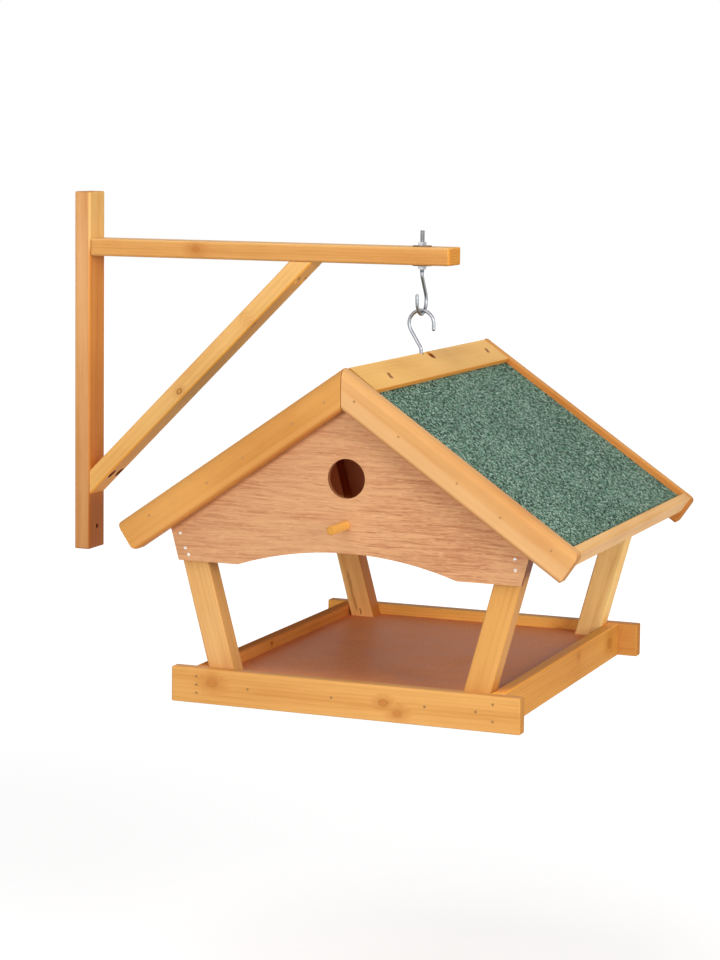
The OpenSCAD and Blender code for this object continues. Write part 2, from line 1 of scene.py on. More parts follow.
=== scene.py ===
"""A hanging bird table house on its wall bracket: timber, felt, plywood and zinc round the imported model.

Lengths are in metres, except where they are said to be in mm.
"""
import math
from typing import NamedTuple

import bmesh
import bpy
from mathutils import Matrix, Vector


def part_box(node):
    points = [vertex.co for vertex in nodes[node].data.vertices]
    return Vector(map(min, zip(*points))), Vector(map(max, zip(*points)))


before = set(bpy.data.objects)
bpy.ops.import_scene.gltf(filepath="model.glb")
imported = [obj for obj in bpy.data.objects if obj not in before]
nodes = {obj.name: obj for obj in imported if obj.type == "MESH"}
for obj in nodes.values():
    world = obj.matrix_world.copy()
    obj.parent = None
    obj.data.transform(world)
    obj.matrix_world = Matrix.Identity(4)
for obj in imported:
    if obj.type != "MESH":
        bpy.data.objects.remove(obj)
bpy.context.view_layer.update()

MM = 0.001
QUARTER_TURN = math.radians(90)
ROOF_SLOPE = math.radians(34.5)
LEG_LEAN = math.radians(15.2)
BRACE_SLOPE = math.radians(45.0)


def stain(red, green, blue):
    """A colour read as it looks on screen, 0 to 255, as Blender's linear colour."""
    linear = []
    for part in (red, green, blue):
        part = part / 255
        linear.append(part / 12.92 if part <= 0.04045 else ((part + 0.055) / 1.055) ** 2.4)
    return (*linear, 1.0)


def shade(colour, *factors):
    """A colour with its red, green and blue multiplied, up to white."""
    return (*(min(1.0, part * factor) for part, factor in zip(colour, factors)), 1.0)


class Grade:
    """One output of a node on the bench, on which Python arithmetic adds Math nodes."""

    def __init__(self, bench, socket):
        self.bench = bench
        self.socket = socket

    def other(self, name):
        """Another output of the same node."""
        return Grade(self.bench, self.socket.node.outputs[name])

    def math(self, operation, *others):
        return self.bench.reckon(operation, self, *others)

    def __add__(self, other):
        return self.math("ADD", other)

    __radd__ = __add__

    def __sub__(self, other):
        return self.math("SUBTRACT", other)

    def __rsub__(self, other):
        return self.bench.reckon("SUBTRACT", other, self)

    def __mul__(self, other):
        return self.math("MULTIPLY", other)

    __rmul__ = __mul__

    def __truediv__(self, other):
        return self.math("DIVIDE", other)

    def __pow__(self, other):
        return self.math("POWER", other)

    def __abs__(self):
        return self.math("ABSOLUTE")

    def above(self, low, high):
        """0 below low, 1 above high, with a soft step between; low may be the larger of the two."""
        return self.bench.node(
            "ShaderNodeMapRange",
            {"interpolation_type": "SMOOTHSTEP", "clamp": True},
            {"Value": self, "From Min": low, "From Max": high},
        )


def strongest(grades):
    """The highest of several grades at each point."""
    highest = grades[0]
    for grade in grades[1:]:
        highest = highest.math("MAXIMUM", grade)
    return highest


class Bench:
    """A node tree under construction, on which every node is made by node()."""

    def __init__(self, tree):
        self.tree = tree
        tree.nodes.clear()

    def node(self, kind, settings=None, sockets=None, output=0):
        made = self.tree.nodes.new(kind)
        for name, value in (settings or {}).items():
            if name == "stops":
                self.set_stops(made.color_ramp, value)
            else:
                setattr(made, name, value)
        for name, value in (sockets or {}).items():
            if isinstance(value, Grade):
                self.tree.links.new(value.socket, made.inputs[name])
            else:
                made.inputs[name].default_value = value
        return Grade(self, made.outputs[output]) if made.outputs else None

    def set_stops(self, ramp, stops):
        while len(ramp.elements) < len(stops):
            ramp.elements.new(0.5)
        for element, (place, colour) in zip(ramp.elements, stops):
            element.position = place
            element.color = colour

    def reckon(self, operation, *values):
        """A Math node on up to three numbers or grades."""
        return self.node("ShaderNodeMath", {"operation": operation}, dict(enumerate(values)))

    def seen_directly(self):
        """1 for what the camera sees, also in polished metal or through glass, and 0 for mere light."""
        camera_ray = self.node("ShaderNodeLightPath", output="Is Camera Ray")
        glossy_ray = camera_ray.other("Is Glossy Ray")
        glass_ray = camera_ray.other("Is Transmission Ray")
        return strongest((camera_ray, glossy_ray, glass_ray))


class Finish(Bench):
    """A material under construction."""

    def __init__(self, name):
        self.material = bpy.data.materials.new(name)
        self.material.use_nodes = True
        super().__init__(self.material.node_tree)

    def mix(self, share, low, high, blend="MIX"):
        """Two colours mixed by a share from 0 to 1."""
        return self.node(
            "ShaderNodeMix",
            {"data_type": "RGBA", "blend_type": blend, "clamp_factor": True, "clamp_result": True},
            {0: share, 6: low, 7: high},
            output=2,
        )

    def ramp(self, share, *stops):
        """A colour between stops, each a share and its colour."""
        return self.node("ShaderNodeValToRGB", {"stops": stops}, {"Fac": share}, output="Color")

    def vector(self, operation, first, second):
        return self.node("ShaderNodeVectorMath", {"operation": operation}, {0: first, 1: second})

    def stretch(self, place, *waves):
        """A place for noise() that gives it so many waves a metre along each axis."""
        return self.vector("MULTIPLY", place, waves)

    def noise(self, place, detail=2.0, roughness=0.5, distortion=0.0, scale=1.0, output="Fac"):
        shape = {"Scale": scale, "Detail": detail, "Roughness": roughness, "Distortion": distortion}
        return self.node(
            "ShaderNodeTexNoise",
            {"noise_dimensions": "3D"},
            {"Vector": place, **shape},
            output=output,
        )

    def cells(self, place, scale, feature="F1", output="Color"):
        return self.node(
            "ShaderNodeTexVoronoi",
            {"feature": feature, "voronoi_dimensions": "3D"},
            {"Vector": place, "Scale": scale},
            output=output,
        )

    def parts(self, vector):
        """A vector's three parts."""
        x = self.node("ShaderNodeSeparateXYZ", {}, {"Vector": vector}, output="X")
        return x, x.other("Y"), x.other("Z")

    def laid(self, centre=(0.0, 0.0, 0.0), turn=(0.0, 0.0, 0.0)):
        """Where a point lies from a piece's centre, and which way it faces, along the piece's own axes.

        The axes are its length, its breadth and its depth.
        """
        place = self.node("ShaderNodeTexCoord", output="Object")
        own = self.node(
            "ShaderNodeMapping",
            {"vector_type": "TEXTURE"},
            {"Vector": place, "Location": tuple(centre), "Rotation": tuple(turn)},
        )
        facing = self.node(
            "ShaderNodeMapping",
            {"vector_type": "TEXTURE"},
            {"Vector": place.other("Normal"), "Rotation": tuple(turn)},
        )
        return own, facing

    def surface(self, colour, roughness, height, relief, strength, **constants):
        """Ends the finish: a Principled shader, with the height as bump."""
        bump = self.node("ShaderNodeBump", {}, {"Height": height, "Distance": relief, "Strength": strength})
        sockets = {name.replace("_", " "): value for name, value in constants.items()}
        sockets.update({"Base Color": colour, "Roughness": roughness, "Normal": bump})
        shader = self.node("ShaderNodeBsdfPrincipled", {}, sockets)
        self.node("ShaderNodeOutputMaterial", {}, {"Surface": shader})
        return self.material


def wear(name, finish):
    """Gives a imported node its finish."""
    for slot in nodes[name].material_slots:
        slot.material = finish


def centre_of(name):
    low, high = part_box(name)
    return (low + high) / 2


def half_of(name):
    low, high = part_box(name)
    return (high - low) / 2


LENGTH, BREADTH, DEPTH = range(3)
ALONG_ARM = (0.0, 0.0, 0.0)
ALONG_RIDGE = (0.0, 0.0, QUARTER_TURN)
UPRIGHT = (0.0, -QUARTER_TURN, 0.0)
UP_BRACE = (0.0, -BRACE_SLOPE, 0.0)
DOWN_LEFT = (0.0, -ROOF_SLOPE, 0.0)
DOWN_RIGHT = (0.0, ROOF_SLOPE, 0.0)
LEG_LEFT = (0.0, -QUARTER_TURN - LEG_LEAN, 0.0)
LEG_RIGHT = (0.0, -QUARTER_TURN + LEG_LEAN, 0.0)
FACING_FRONT = (QUARTER_TURN, 0.0, 0.0)


class Knot(NamedTuple):
    """A branch in a board, in mm from its middle, with None for the axis along which the branch runs."""

    along: float
    breadth: float
    depth: float
    radius: float
    rim: float  # how dark its rim is, from 0 to 1


class Scar(NamedTuple):
    """A dark mark along the grain, in mm from the board's middle."""

    along: float
    across: float
    half_length: float
    half_width: float
    axis: int  # the axis across which it lies
    share: float  # how dark it is, from 0 to 1


class Bore(NamedTuple):
    """A hole painted dark inside as painted shade, in mm from the board's middle."""

    along: float
    breadth: float
    radius: float
    depth: float = 0.0  # how deep its mouth lies
    lean: float = 0.0  # how far it runs back along the board for each mm of depth


class PaintedSideLight(NamedTuple):
    """A side whose colour is multiplied by a tint: painted light where it is made lighter, painted shade
    where it is made darker.
    """

    axis: int
    way: int  # the way it faces along that axis, 1 or -1
    tint: tuple
    fade: tuple = None  # from where to where along the board the tint comes in, in mm
    share: float = 1.0


RING_BEND = 3.2 * MM
RING_DRIFT = 6.0 * MM
KNOT_BULGE = 6.0 * MM
KNOT_SQUEEZE = 0.72  # knots are longer along the grain than across it
SCAR_WAVE = 4.0 * MM
PALE_BAND_SOFTNESS = 2.0 * MM
PALE_BAND_WAVE = 5.0 * MM
ARRIS_WEAR_AND_HIGHLIGHT = (3.0 * MM, 0.8 * MM)  # how near an arris the pale band, part wear and part painted highlight, starts, and where it is full
BORE_RIM = (0.4 * MM, 0.1 * MM)  # the same for the painted shade, measured beyond the bore's radius


def knot_marks(places, bend, knot):
    """How much of a knot's core, of its dark rim and of its halo a point has."""
    off = (places[LENGTH] - knot.along * MM) * KNOT_SQUEEZE
    square = off * off
    for axis, place in ((BREADTH, knot.breadth), (DEPTH, knot.depth)):
        if place is not None:
            step = places[axis] - place * MM
            square = square + step * step
    radius = knot.radius * MM
    away = square**0.5 + bend * (radius * 0.5)
    core = away.above(radius * 1.05, radius * 0.7)
    rim = away.above(radius * 1.5, radius * 1.05) * away.above(radius * 0.55, radius * 0.9)
    halo = away.above(radius * 4.0, radius * 0.9)
    return core, rim * knot.rim, halo


def scar_mark(f, places, shifted, scar):
    """How much of a scar a point has; its edges waver."""
    wave = (f.noise(f.stretch(shifted, 60, 60, 60)) - 0.5) * SCAR_WAVE
    sideways = abs(places[scar.axis] - scar.across * MM + wave)
    lengthways = abs(places[LENGTH] - scar.along * MM)
    mark = sideways.above(scar.half_width * MM, scar.half_width * 0.3 * MM)
    return mark * lengthways.above(scar.half_length * MM, scar.half_length * 0.7 * MM) * scar.share


def bore_mark(places, bore):
    """1 inside a bore, and 0 outside it."""
    off = places[LENGTH] - bore.along * MM
    if bore.lean:
        off = (off + (places[DEPTH] - bore.depth * MM) * bore.lean) * (1 / math.hypot(1, bore.lean))
    step = places[BREADTH] - bore.breadth * MM
    outer, inner = (bore.radius * MM + rim for rim in BORE_RIM)
    return ((off * off + step * step) ** 0.5).above(outer, inner)


def timber(
    name, centre, turn, half, colour, pith=(14, -22), ring=2.6, contrast=1.0, cloudy=0.8,
    knots=(), scars=(), bores=(), soaked=(), sapwood=None, gloss=0.08, seed=0.0,
):
    """Stained softwood: rings about the pith, fibres, knots, pale arrises that are partly worn stain and
    partly a painted highlight, darker end grain, and sides painted lighter or darker as painted light and
    shade.

    half is half the breadth and half the depth. pith is where the heart of the tree lies in breadth and
    depth, and ring is the breadth of a year, both in mm. contrast is the strength of the grain, and cloudy
    that of the stain's clouds. A paler band lies below the depth sapwood, in mm. gloss is the
    specular level, and seed picks the piece of wood. soaked lists sides painted lighter or darker, as
    painted light and painted shade.
    """
    f = Finish(name)
    own, facing = f.laid(centre, turn)
    places = f.parts(own)
    sides = f.parts(facing)
    along, breadth, depth = places
    shifted = f.vector("ADD", own, (seed, seed * 0.37, seed * 0.61))

    bend = f.noise(f.stretch(shifted, 5, 34, 34), detail=1.5) - 0.5
    drift = f.noise(f.stretch(shifted, 1.6, 4, 4), detail=0.0) - 0.5
    away_y = breadth - pith[0] * MM
    away_z = depth - pith[1] * MM
    heart = (away_y * away_y + away_z * away_z) ** 0.5
    heart = heart + bend * RING_BEND + drift * RING_DRIFT
    branches = [knot_marks(places, bend, knot) for knot in knots]
    for _, _, halo in branches:
        heart = heart + halo * halo * KNOT_BULGE

    year = (heart / (ring * MM)).math("FRACT")
    late = year**3.0 * year.above(1.0, 0.93)
    fibre = f.noise(f.stretch(shifted, 26, 620, 620), detail=3.0, roughness=0.6)
    streak = f.noise(f.stretch(shifted, 3.5, 95, 95))
    cloud = f.noise(f.stretch(shifted, 9, 17, 17))
    dashes = f.noise(f.stretch(shifted, 70, 900, 900), detail=1.0).above(0.66, 0.74)
    end = abs(sides[LENGTH]).above(0.45, 0.75)
    to_side = half[0] - abs(breadth)
    to_face = half[1] - abs(depth)
    arris_wear_and_highlight = to_side.math("MAXIMUM", to_face).above(*ARRIS_WEAR_AND_HIGHLIGHT) * (1 - end)

    grain = (fibre - 0.5) * 0.42 + (streak - 0.5) * 0.9 - late * 0.24
    tone = 0.5 + grain * contrast + (cloud - 0.5) * cloudy - dashes * 0.12
    deep = shade(colour, 0.80, 0.66, 0.52)
    pale = shade(colour, 1.13, 1.20, 1.34)
    wood = f.ramp(tone, (0.0, deep), (0.5, colour), (1.0, pale))
    if branches:
        core, rim, halo = map(strongest, zip(*branches))
        amber = shade(colour, 0.72, 0.50, 0.36)
        umber = shade(colour, 0.40, 0.24, 0.18)
        wood = f.mix(halo * 0.40, wood, amber)
        wood = f.mix(core * 0.60, wood, amber)
        wood = f.mix(rim, wood, umber)
    for scar in scars:
        wood = f.mix(scar_mark(f, places, shifted, scar), wood, shade(colour, 0.30, 0.15, 0.06))
    if sapwood is not None:
        border = sapwood * MM
        outer = (depth + bend * PALE_BAND_WAVE).above(border + PALE_BAND_SOFTNESS, border - PALE_BAND_SOFTNESS)
        wood = f.mix(outer * 0.42, wood, shade(colour, 1.16, 1.34, 1.75))
    # pale arrises: partly worn stain, partly a painted highlight
    wood = f.mix(arris_wear_and_highlight * 0.3, wood, pale)
    end_grain = f.ramp(
        late * 0.7 + (fibre - 0.5) * 0.8 + 0.15,
        (0.0, shade(colour, 0.86, 0.76, 0.62)),
        (1.0, shade(colour, 0.52, 0.38, 0.26)),
    )
    wood = f.mix(end * 0.8, wood, end_grain)
    # sides painted lighter or darker by a tint: painted light and painted shade
    for soak in soaked:
        side = (sides[soak.axis] * soak.way).above(0.2, 0.8)
        if soak.fade is not None:
            start, full = soak.fade
            side = side * along.above(start * MM, full * MM)
        tinted = f.mix(1.0, wood, (*soak.tint, 1.0), blend="MULTIPLY")
        wood = f.mix(side * soak.share, wood, tinted)
    # bores are painted dark inside: painted shade
    for bore in bores:
        wood = f.mix(bore_mark(places, bore), wood, shade(colour, 0.36, 0.17, 0.08))
    roughness = 0.44 + (fibre - 0.5) * 0.22 + late * 0.08 + end * 0.22 - arris_wear_and_highlight * 0.06
    height = fibre * 0.5 + late * 0.35 - dashes * 0.5 + streak * 0.5
    return f.surface(wood, roughness, height, 0.22 * MM, 0.5, Specular_IOR_Level=gloss)


def board(name, colour, turn, half=None, shift=(0.0, 0.0, 0.0), **detail):
    """A timber node, with its breadth and depth from its box unless it leans.

    shift is how far the board's own middle lies from that of its box.
    """
    if half is None:
        size = half_of(name)
        half = {
            ALONG_ARM: (size.y, size.z),
            ALONG_RIDGE: (size.x, size.z),
            UPRIGHT: (size.y, size.x),
        }[turn]
    wear(name, timber(name + "_timber", centre_of(name) + Vector(shift), turn, half, colour, **detail))


ROOF_SHADOW_EDGES = (34.5 * MM, 29.5 * MM)  # how far below the roof's top the painted shadow ends, and where it is full
FLAME_LENGTH = 70.0 * MM
FLAME_BREADTH = 50.0 * MM
FLAME_GAIN = 0.5
FIGURE_WAVE = 12.0 * MM


def veneer(name, centre, turn, colour, half_depth, flame=(0.09, 0.0), shaded_way=0, shadow_peak=None, seed=0.0):
    """Tropical plywood: a rotary cut face with short dark pores, and the layers at its edges.

    flame is the middle of a darker patch of the figure. shaded_way is the way that the inner face looks, 1
    or -1 along the depth, or 0 where there is none; that face is painted darker, as painted shade.
    shadow_peak is how far the roof's peak lies above the centre; below the boards of the roof a painted
    shadow darkens the face.
    """
    f = Finish(name)
    own, facing = f.laid(centre, turn)
    along, breadth, depth = f.parts(own)
    toward = f.parts(facing)[DEPTH]
    shifted = f.vector("ADD", own, (seed, seed * 0.4, 0.0))
    wave = f.noise(f.stretch(shifted, 7, 20, 20)) - 0.5
    waved = {"X": along, "Y": breadth + wave * FIGURE_WAVE, "Z": depth}
    bent = f.vector("ADD", f.node("ShaderNodeCombineXYZ", {}, waved), (seed, seed, seed))
    figure = f.noise(f.stretch(bent, 13, 350, 350), detail=4.0, roughness=0.62)
    fibre = f.noise(f.stretch(bent, 34, 620, 620), detail=3.0, roughness=0.6)
    pores = f.noise(f.stretch(bent, 120, 950, 950), detail=1.0).above(0.58, 0.72)
    flecks = f.noise(f.stretch(bent, 130, 800, 800), detail=0.0).above(0.58, 0.74)
    cloud = f.noise(f.stretch(shifted, 8, 14, 14), detail=1.0)
    off_along = (along - flame[0]) / FLAME_LENGTH
    off_across = (breadth - flame[1]) / FLAME_BREADTH
    flamed = (off_along * off_along + off_across * off_across).above(1.6, 0.1) * FLAME_GAIN

    tone = 0.5 + (figure - 0.5) * 1.3 + (fibre - 0.5) * 1.5 + (cloud - 0.5) * 0.5
    tone = tone - flamed * (1 - fibre) * 0.9
    dark = shade(colour, 0.74, 0.60, 0.55)
    light = shade(colour, 1.10, 1.18, 1.20)
    face = f.ramp(tone, (0.0, dark), (0.5, colour), (1.0, light))
    face = f.mix(pores * (0.26 + flamed * 0.5), face, shade(colour, 0.56, 0.38, 0.31))
    face = f.mix(flecks * 0.42, face, shade(colour, 1.14, 1.30, 1.38))
    # a painted shadow below the boards of the roof
    if shadow_peak is not None:
        below = (shadow_peak - breadth) * math.cos(ROOF_SLOPE) - abs(along) * math.sin(ROOF_SLOPE)
        roof_shadow_share = below.above(*ROOF_SHADOW_EDGES) * (0.75 + wave * 1.2)
        face = f.mix(roof_shadow_share, face, shade(colour, 0.52, 0.34, 0.24))
    # the inner face is painted darker: painted shade
    if shaded_way:
        face = f.mix((toward * shaded_way).above(0.3, 0.7), face, shade(colour, 0.68, 0.38, 0.28))

    on_edge = abs(toward).above(0.7, 0.45)
    middle_layer = abs(depth).above(half_depth * 0.36, half_depth * 0.30)
    edge = f.mix(middle_layer, shade(colour, 0.62, 0.46, 0.38), shade(colour, 0.36, 0.22, 0.17))
    edge = f.mix((fibre - 0.3) * 0.6, edge, shade(colour, 0.3, 0.17, 0.12))
    face = f.mix(on_edge, face, edge)
    roughness = 0.52 + (fibre - 0.5) * 0.25 + on_edge * 0.2
    height = fibre * 0.6 + figure * 0.3 - pores * 0.6
    return f.surface(face, roughness, height, 0.25 * MM, 0.6, Specular_IOR_Level=0.2)


GRAINS_PER_METRE = 720.0
GRAIN_JITTER = 0.9 * MM


def mineral_felt(name, centre, turn, seed):
    """Roofing felt: crushed green slate pressed into bitumen, grain by grain."""
    f = Finish(name)
    own, _ = f.laid(centre, turn)
    shifted = f.vector("ADD", own, (seed, seed, seed))
    jitter = f.noise(shifted, detail=1.0, scale=420.0, output="Color")
    jitter = f.vector("SUBTRACT", jitter, (0.5, 0.5, 0.5))
    jitter = f.vector("MULTIPLY", jitter, (GRAIN_JITTER, GRAIN_JITTER, GRAIN_JITTER))
    wobbled = f.vector("ADD", shifted, jitter)
    grain, lightness, hue = f.parts(f.cells(wobbled, GRAINS_PER_METRE))
    hollow = f.cells(wobbled, GRAINS_PER_METRE, feature="DISTANCE_TO_EDGE", output="Distance")
    coarse = f.noise(shifted, scale=330.0)
    patch = f.noise(shifted, scale=22.0)
    tone = lightness * 1.1 + (coarse - 0.5) * 2.0 + (patch - 0.5) * 0.3 - 0.05
    slate = f.ramp(
        tone,
        (0.0, stain(20, 40, 32)),
        (0.28, stain(57, 99, 76)),
        (0.50, stain(110, 168, 134)),
        (0.72, stain(158, 204, 174)),
        (1.0, stain(220, 246, 228)),
    )
    rusty = grain.above(0.972, 0.985)
    slate = f.mix(rusty * 0.5, slate, stain(150, 120, 100))
    bitumen = hollow.above(0.16, 0.02)
    slate = f.mix(bitumen * 0.75, slate, stain(18, 28, 24))
    glint = hue.above(0.90, 0.96)
    roughness = 0.86 - glint * 0.3
    height = hollow.above(0.0, 0.30) * (0.4 + lightness * 0.6) + coarse * 0.4
    return f.surface(slate, roughness, height, 1.0 * MM, 0.9, Specular_IOR_Level=0.25)


FILM_MESH_WAVES = 1400.0
PLY_WAVES = 4200.0


def film_faced(name):
    """Tray floor: birch plywood under a brown pressed film with a fine mesh."""
    f = Finish(name)
    own, facing = f.laid(centre_of(name))
    along, breadth, depth = f.parts(own)
    cloud = f.noise(own, detail=4.0, scale=34.0)
    speck = f.noise(own, scale=420.0)
    scuff = f.noise(f.stretch(own, 30, 6, 1), detail=3.0, distortion=0.6).above(0.60, 0.72)
    mesh = (along * FILM_MESH_WAVES).math("SINE") * (breadth * FILM_MESH_WAVES).math("SINE")
    tone = 0.5 + (cloud - 0.5) * 0.6 + (speck - 0.5) * 0.8 + scuff * 0.16
    film = f.ramp(
        tone,
        (0.0, stain(208, 121, 70)),
        (0.5, stain(238, 151, 94)),
        (1.0, stain(250, 176, 118)),
    )
    side = abs(f.parts(facing)[DEPTH]).above(0.7, 0.5)
    ply = (depth * PLY_WAVES).math("SINE").above(-0.2, 0.2)
    film = f.mix(side, film, f.mix(ply, stain(196, 150, 104), stain(150, 104, 66)))
    roughness = 0.46 + (cloud - 0.5) * 0.25 + scuff * 0.10 + side * 0.3
    height = mesh * 0.25 + speck * 0.6 + cloud * 0.4
    return f.surface(film, roughness, height, 0.12 * MM, 0.6, Specular_IOR_Level=0.05)


THREAD_PITCH = 0.7 * MM
THREAD_FADE = 0.2 * MM


class Thread(NamedTuple):
    """A stud's thread: the stud's middle along the arm, and the thread's lowest and highest point."""

    middle: float
    low: float
    high: float


def zinc(name, base, rough=0.34, mottled=0.0, thread=None, metallic=1.0):
    """Zinc plated steel, drawn smooth or dulled by a spangle, with a thread round its stud."""
    f = Finish(name)
    own, _ = f.laid()
    spangle = f.noise(own, scale=420.0)
    scratch = f.noise(f.stretch(own, 1500, 1500, 220))
    tone = 0.5 + (spangle - 0.5) * (0.2 + mottled) + (scratch - 0.5) * 0.2
    roughness = rough + (spangle - 0.5) * (0.05 + 0.2 * mottled) + (scratch - 0.5) * 0.05
    height = spangle * mottled
    if thread is not None:
        along, breadth, depth = f.parts(own)
        turn = breadth.math("ARCTAN2", along - thread.middle) / (2 * math.pi)
        groove = abs((depth / THREAD_PITCH + turn).math("FRACT") - 0.5) * 2.0
        groove = groove * depth.above(thread.low - THREAD_FADE, thread.low + THREAD_FADE)
        groove = groove * depth.above(thread.high + THREAD_FADE, thread.high - THREAD_FADE)
        # the thread's grooves are painted darker: painted shade, besides the bump
        tone = tone - groove * 0.30
        height = height - groove * 3.0
    dark = shade(base, 0.55, 0.56, 0.58)
    bright = shade(base, 1.35, 1.35, 1.35)
    plate = f.ramp(tone, (0.0, dark), (0.5, base), (1.0, bright))
    return f.surface(plate, roughness, height, 0.12 * MM, 0.5, Metallic=metallic)


def driven(name, base):
    """Nail, staple and screw heads: struck steel, dented and stained."""
    f = Finish(name)
    own, _ = f.laid()
    dent = f.noise(own, detail=3.0, scale=1900.0)
    stained = f.noise(own, scale=380.0)
    tone = 0.5 + (dent - 0.5) + (stained - 0.5) * 0.8
    dark = shade(base, 0.45, 0.42, 0.40)
    bright = shade(base, 1.35, 1.35, 1.35)
    steel = f.ramp(tone, (0.0, dark), (0.5, base), (1.0, bright))
    return f.surface(steel, 0.5 + (stained - 0.5) * 0.3, dent, 0.12 * MM, 0.6, Metallic=0.25)


def white_enamel(name):
    """Gable pins: white painted heads, chipped here and there."""
    f = Finish(name)
    own, _ = f.laid()
    chip = f.noise(own, detail=3.0, scale=900.0)
    paint = f.ramp(
        chip,
        (0.0, stain(120, 84, 54)),
        (0.40, stain(196, 172, 146)),
        (0.50, stain(250, 248, 244)),
    )
    return f.surface(paint, 0.34 + (chip - 0.5) * 0.3, chip, 0.1 * MM, 0.5)


POST_COLOUR = stain(222, 165, 108)
ARM_COLOUR = stain(219, 158, 89)
BRACE_COLOUR = stain(238, 185, 113)
TRAY_COLOUR = stain(218, 159, 88)
TRAY_BACK_COLOUR = stain(213, 148, 74)
LEG_COLOUR = stain(220, 167, 104)
BARGE_LEFT_COLOUR = stain(210, 149, 79)
BARGE_RIGHT_COLOUR = stain(215, 160, 100)
RIDGE_COLOUR = stain(234, 179, 97)
EAVE_COLOUR = stain(228, 176, 110)
PERCH_COLOUR = stain(232, 172, 86)
GABLE_COLOUR = stain(207, 152, 107)
# the inside of the roof, darker than its wood: painted shade
SHADED_INSIDE_COLOUR = stain(124, 46, 24)

# The post's front is painted paler above the arm, redder below it where the arm's shadow falls, and darker
# at its foot, and its side darker towards the foot: painted light and painted shadow.
PAINTED_LIGHT_ABOVE_ARM = (1.25, 1.45, 1.20)
PAINTED_ARM_SHADOW = (1.04, 0.76, 0.36)
PAINTED_LOW_SHADOW = (0.72, 0.58, 0.62)
board(
    "wall_post", POST_COLOUR, UPRIGHT, pith=(30, -12), ring=3.1, seed=0.3,
    soaked=(
        PaintedSideLight(DEPTH, -1, PAINTED_LIGHT_ABOVE_ARM, fade=(112, 128)),
        PaintedSideLight(DEPTH, -1, PAINTED_ARM_SHADOW, fade=(128, 112)),
        PaintedSideLight(DEPTH, -1, PAINTED_LOW_SHADOW, fade=(-100, -135)),
        PaintedSideLight(BREADTH, -1, (0.90, 0.80, 0.70), fade=(120, -180), share=0.8),
    ),
    bores=(Bore(-154.5, 0.0, radius=2.25),),
)
board(
    "arm", ARM_COLOUR, ALONG_ARM, pith=(-6, -30), ring=2.8, seed=1.1,
    knots=(Knot(-72, None, 1, radius=3.4, rim=0.08),),
    # the arm's top and end are painted paler: painted light
    soaked=(PaintedSideLight(DEPTH, 1, (1.12, 1.32, 1.65)), PaintedSideLight(LENGTH, 1, (1.30, 1.24, 0.82))),
)
BRACE_HALF_DEPTH = 8.5
LOWER_SCREW_ALONG = -136.9
BESIDE_MIDDLE = 8.0
board(
    "brace", BRACE_COLOUR, UP_BRACE, pith=(9, 17.5), ring=3.0, seed=2.2,
    half=(0.016, BRACE_HALF_DEPTH * MM),
    shift=BRACE_HALF_DEPTH * MM * Vector((-math.sin(BRACE_SLOPE), 0.0, math.cos(BRACE_SLOPE))),
    knots=(Knot(-22, None, -2.1, radius=2.0, rim=0.75), Knot(79, -11.0, None, radius=2.2, rim=0.5)),
    bores=(
        Bore(LOWER_SCREW_ALONG, -BESIDE_MIDDLE, radius=4.0, depth=-BRACE_HALF_DEPTH, lean=1.0),
        Bore(LOWER_SCREW_ALONG, BESIDE_MIDDLE, radius=4.0, depth=-BRACE_HALF_DEPTH, lean=1.0),
    ),
    # the underside is painted deeper orange, and the side darker towards the foot: painted shade
    soaked=(PaintedSideLight(DEPTH, -1, (1.14, 0.86, 0.38)), PaintedSideLight(BREADTH, -1, (1.0, 0.94, 0.82), fade=(-30, -120))),
)
board(
    "tray_front_board", TRAY_COLOUR, ALONG_ARM, pith=(18, -24), ring=2.7, seed=3.1,
    knots=(
        Knot(-124.6, None, 3.7, radius=4.0, rim=0.15),
        Knot(39.7, None, 1.0, radius=2.8, rim=0.3),
        Knot(52.8, None, -7.5, radius=3.2, rim=0.15),
    ),
)
board(
    "tray_back_board", TRAY_BACK_COLOUR, ALONG_ARM, pith=(-20, -18), ring=2.9, seed=5.2,
    knots=(Knot(86.0, None, 3.0, radius=3.8, rim=0.3),),
    # the inner face is painted lighter: painted light where the roof shades it
    soaked=(PaintedSideLight(BREADTH, -1, (1.50, 1.74, 1.70), fade=(138, 122)),),
)
board(
    "tray_right_board", TRAY_COLOUR, ALONG_RIDGE, pith=(-20, 24), ring=2.6, gloss=0.02, seed=6.7,
    knots=(Knot(146.0, None, 2.0, radius=4.2, rim=0.3), Knot(42.0, None, 8.0, radius=2.4, rim=0.2)),
    # the outer face is painted deeper and the top lighter: painted shade and painted light
    soaked=(PaintedSideLight(BREADTH, -1, (1.0, 0.88, 0.62)), PaintedSideLight(DEPTH, 1, (1.40, 1.28, 0.90))),
)
board(
    "tray_left_board", TRAY_COLOUR, ALONG_RIDGE, pith=(16, 30), ring=3.0, gloss=0.0, seed=7.9,
    knots=(Knot(-36.0, None, 11.0, radius=1.2, rim=1.0),),
    # the inner face and the top are painted darker: painted shade
    soaked=(PaintedSideLight(BREADTH, -1, (1.06, 0.84, 0.70)), PaintedSideLight(DEPTH, 1, (0.98, 0.82, 0.82))),
)

LEG_HALF = (0.010, 0.012)
# the legs' tops under the roof are painted darker: painted shadow
PAINTED_ROOF_SHADOW = (0.36, 0.15, 0.10)
ROOF_SHADOW_FADE = (28, 42)
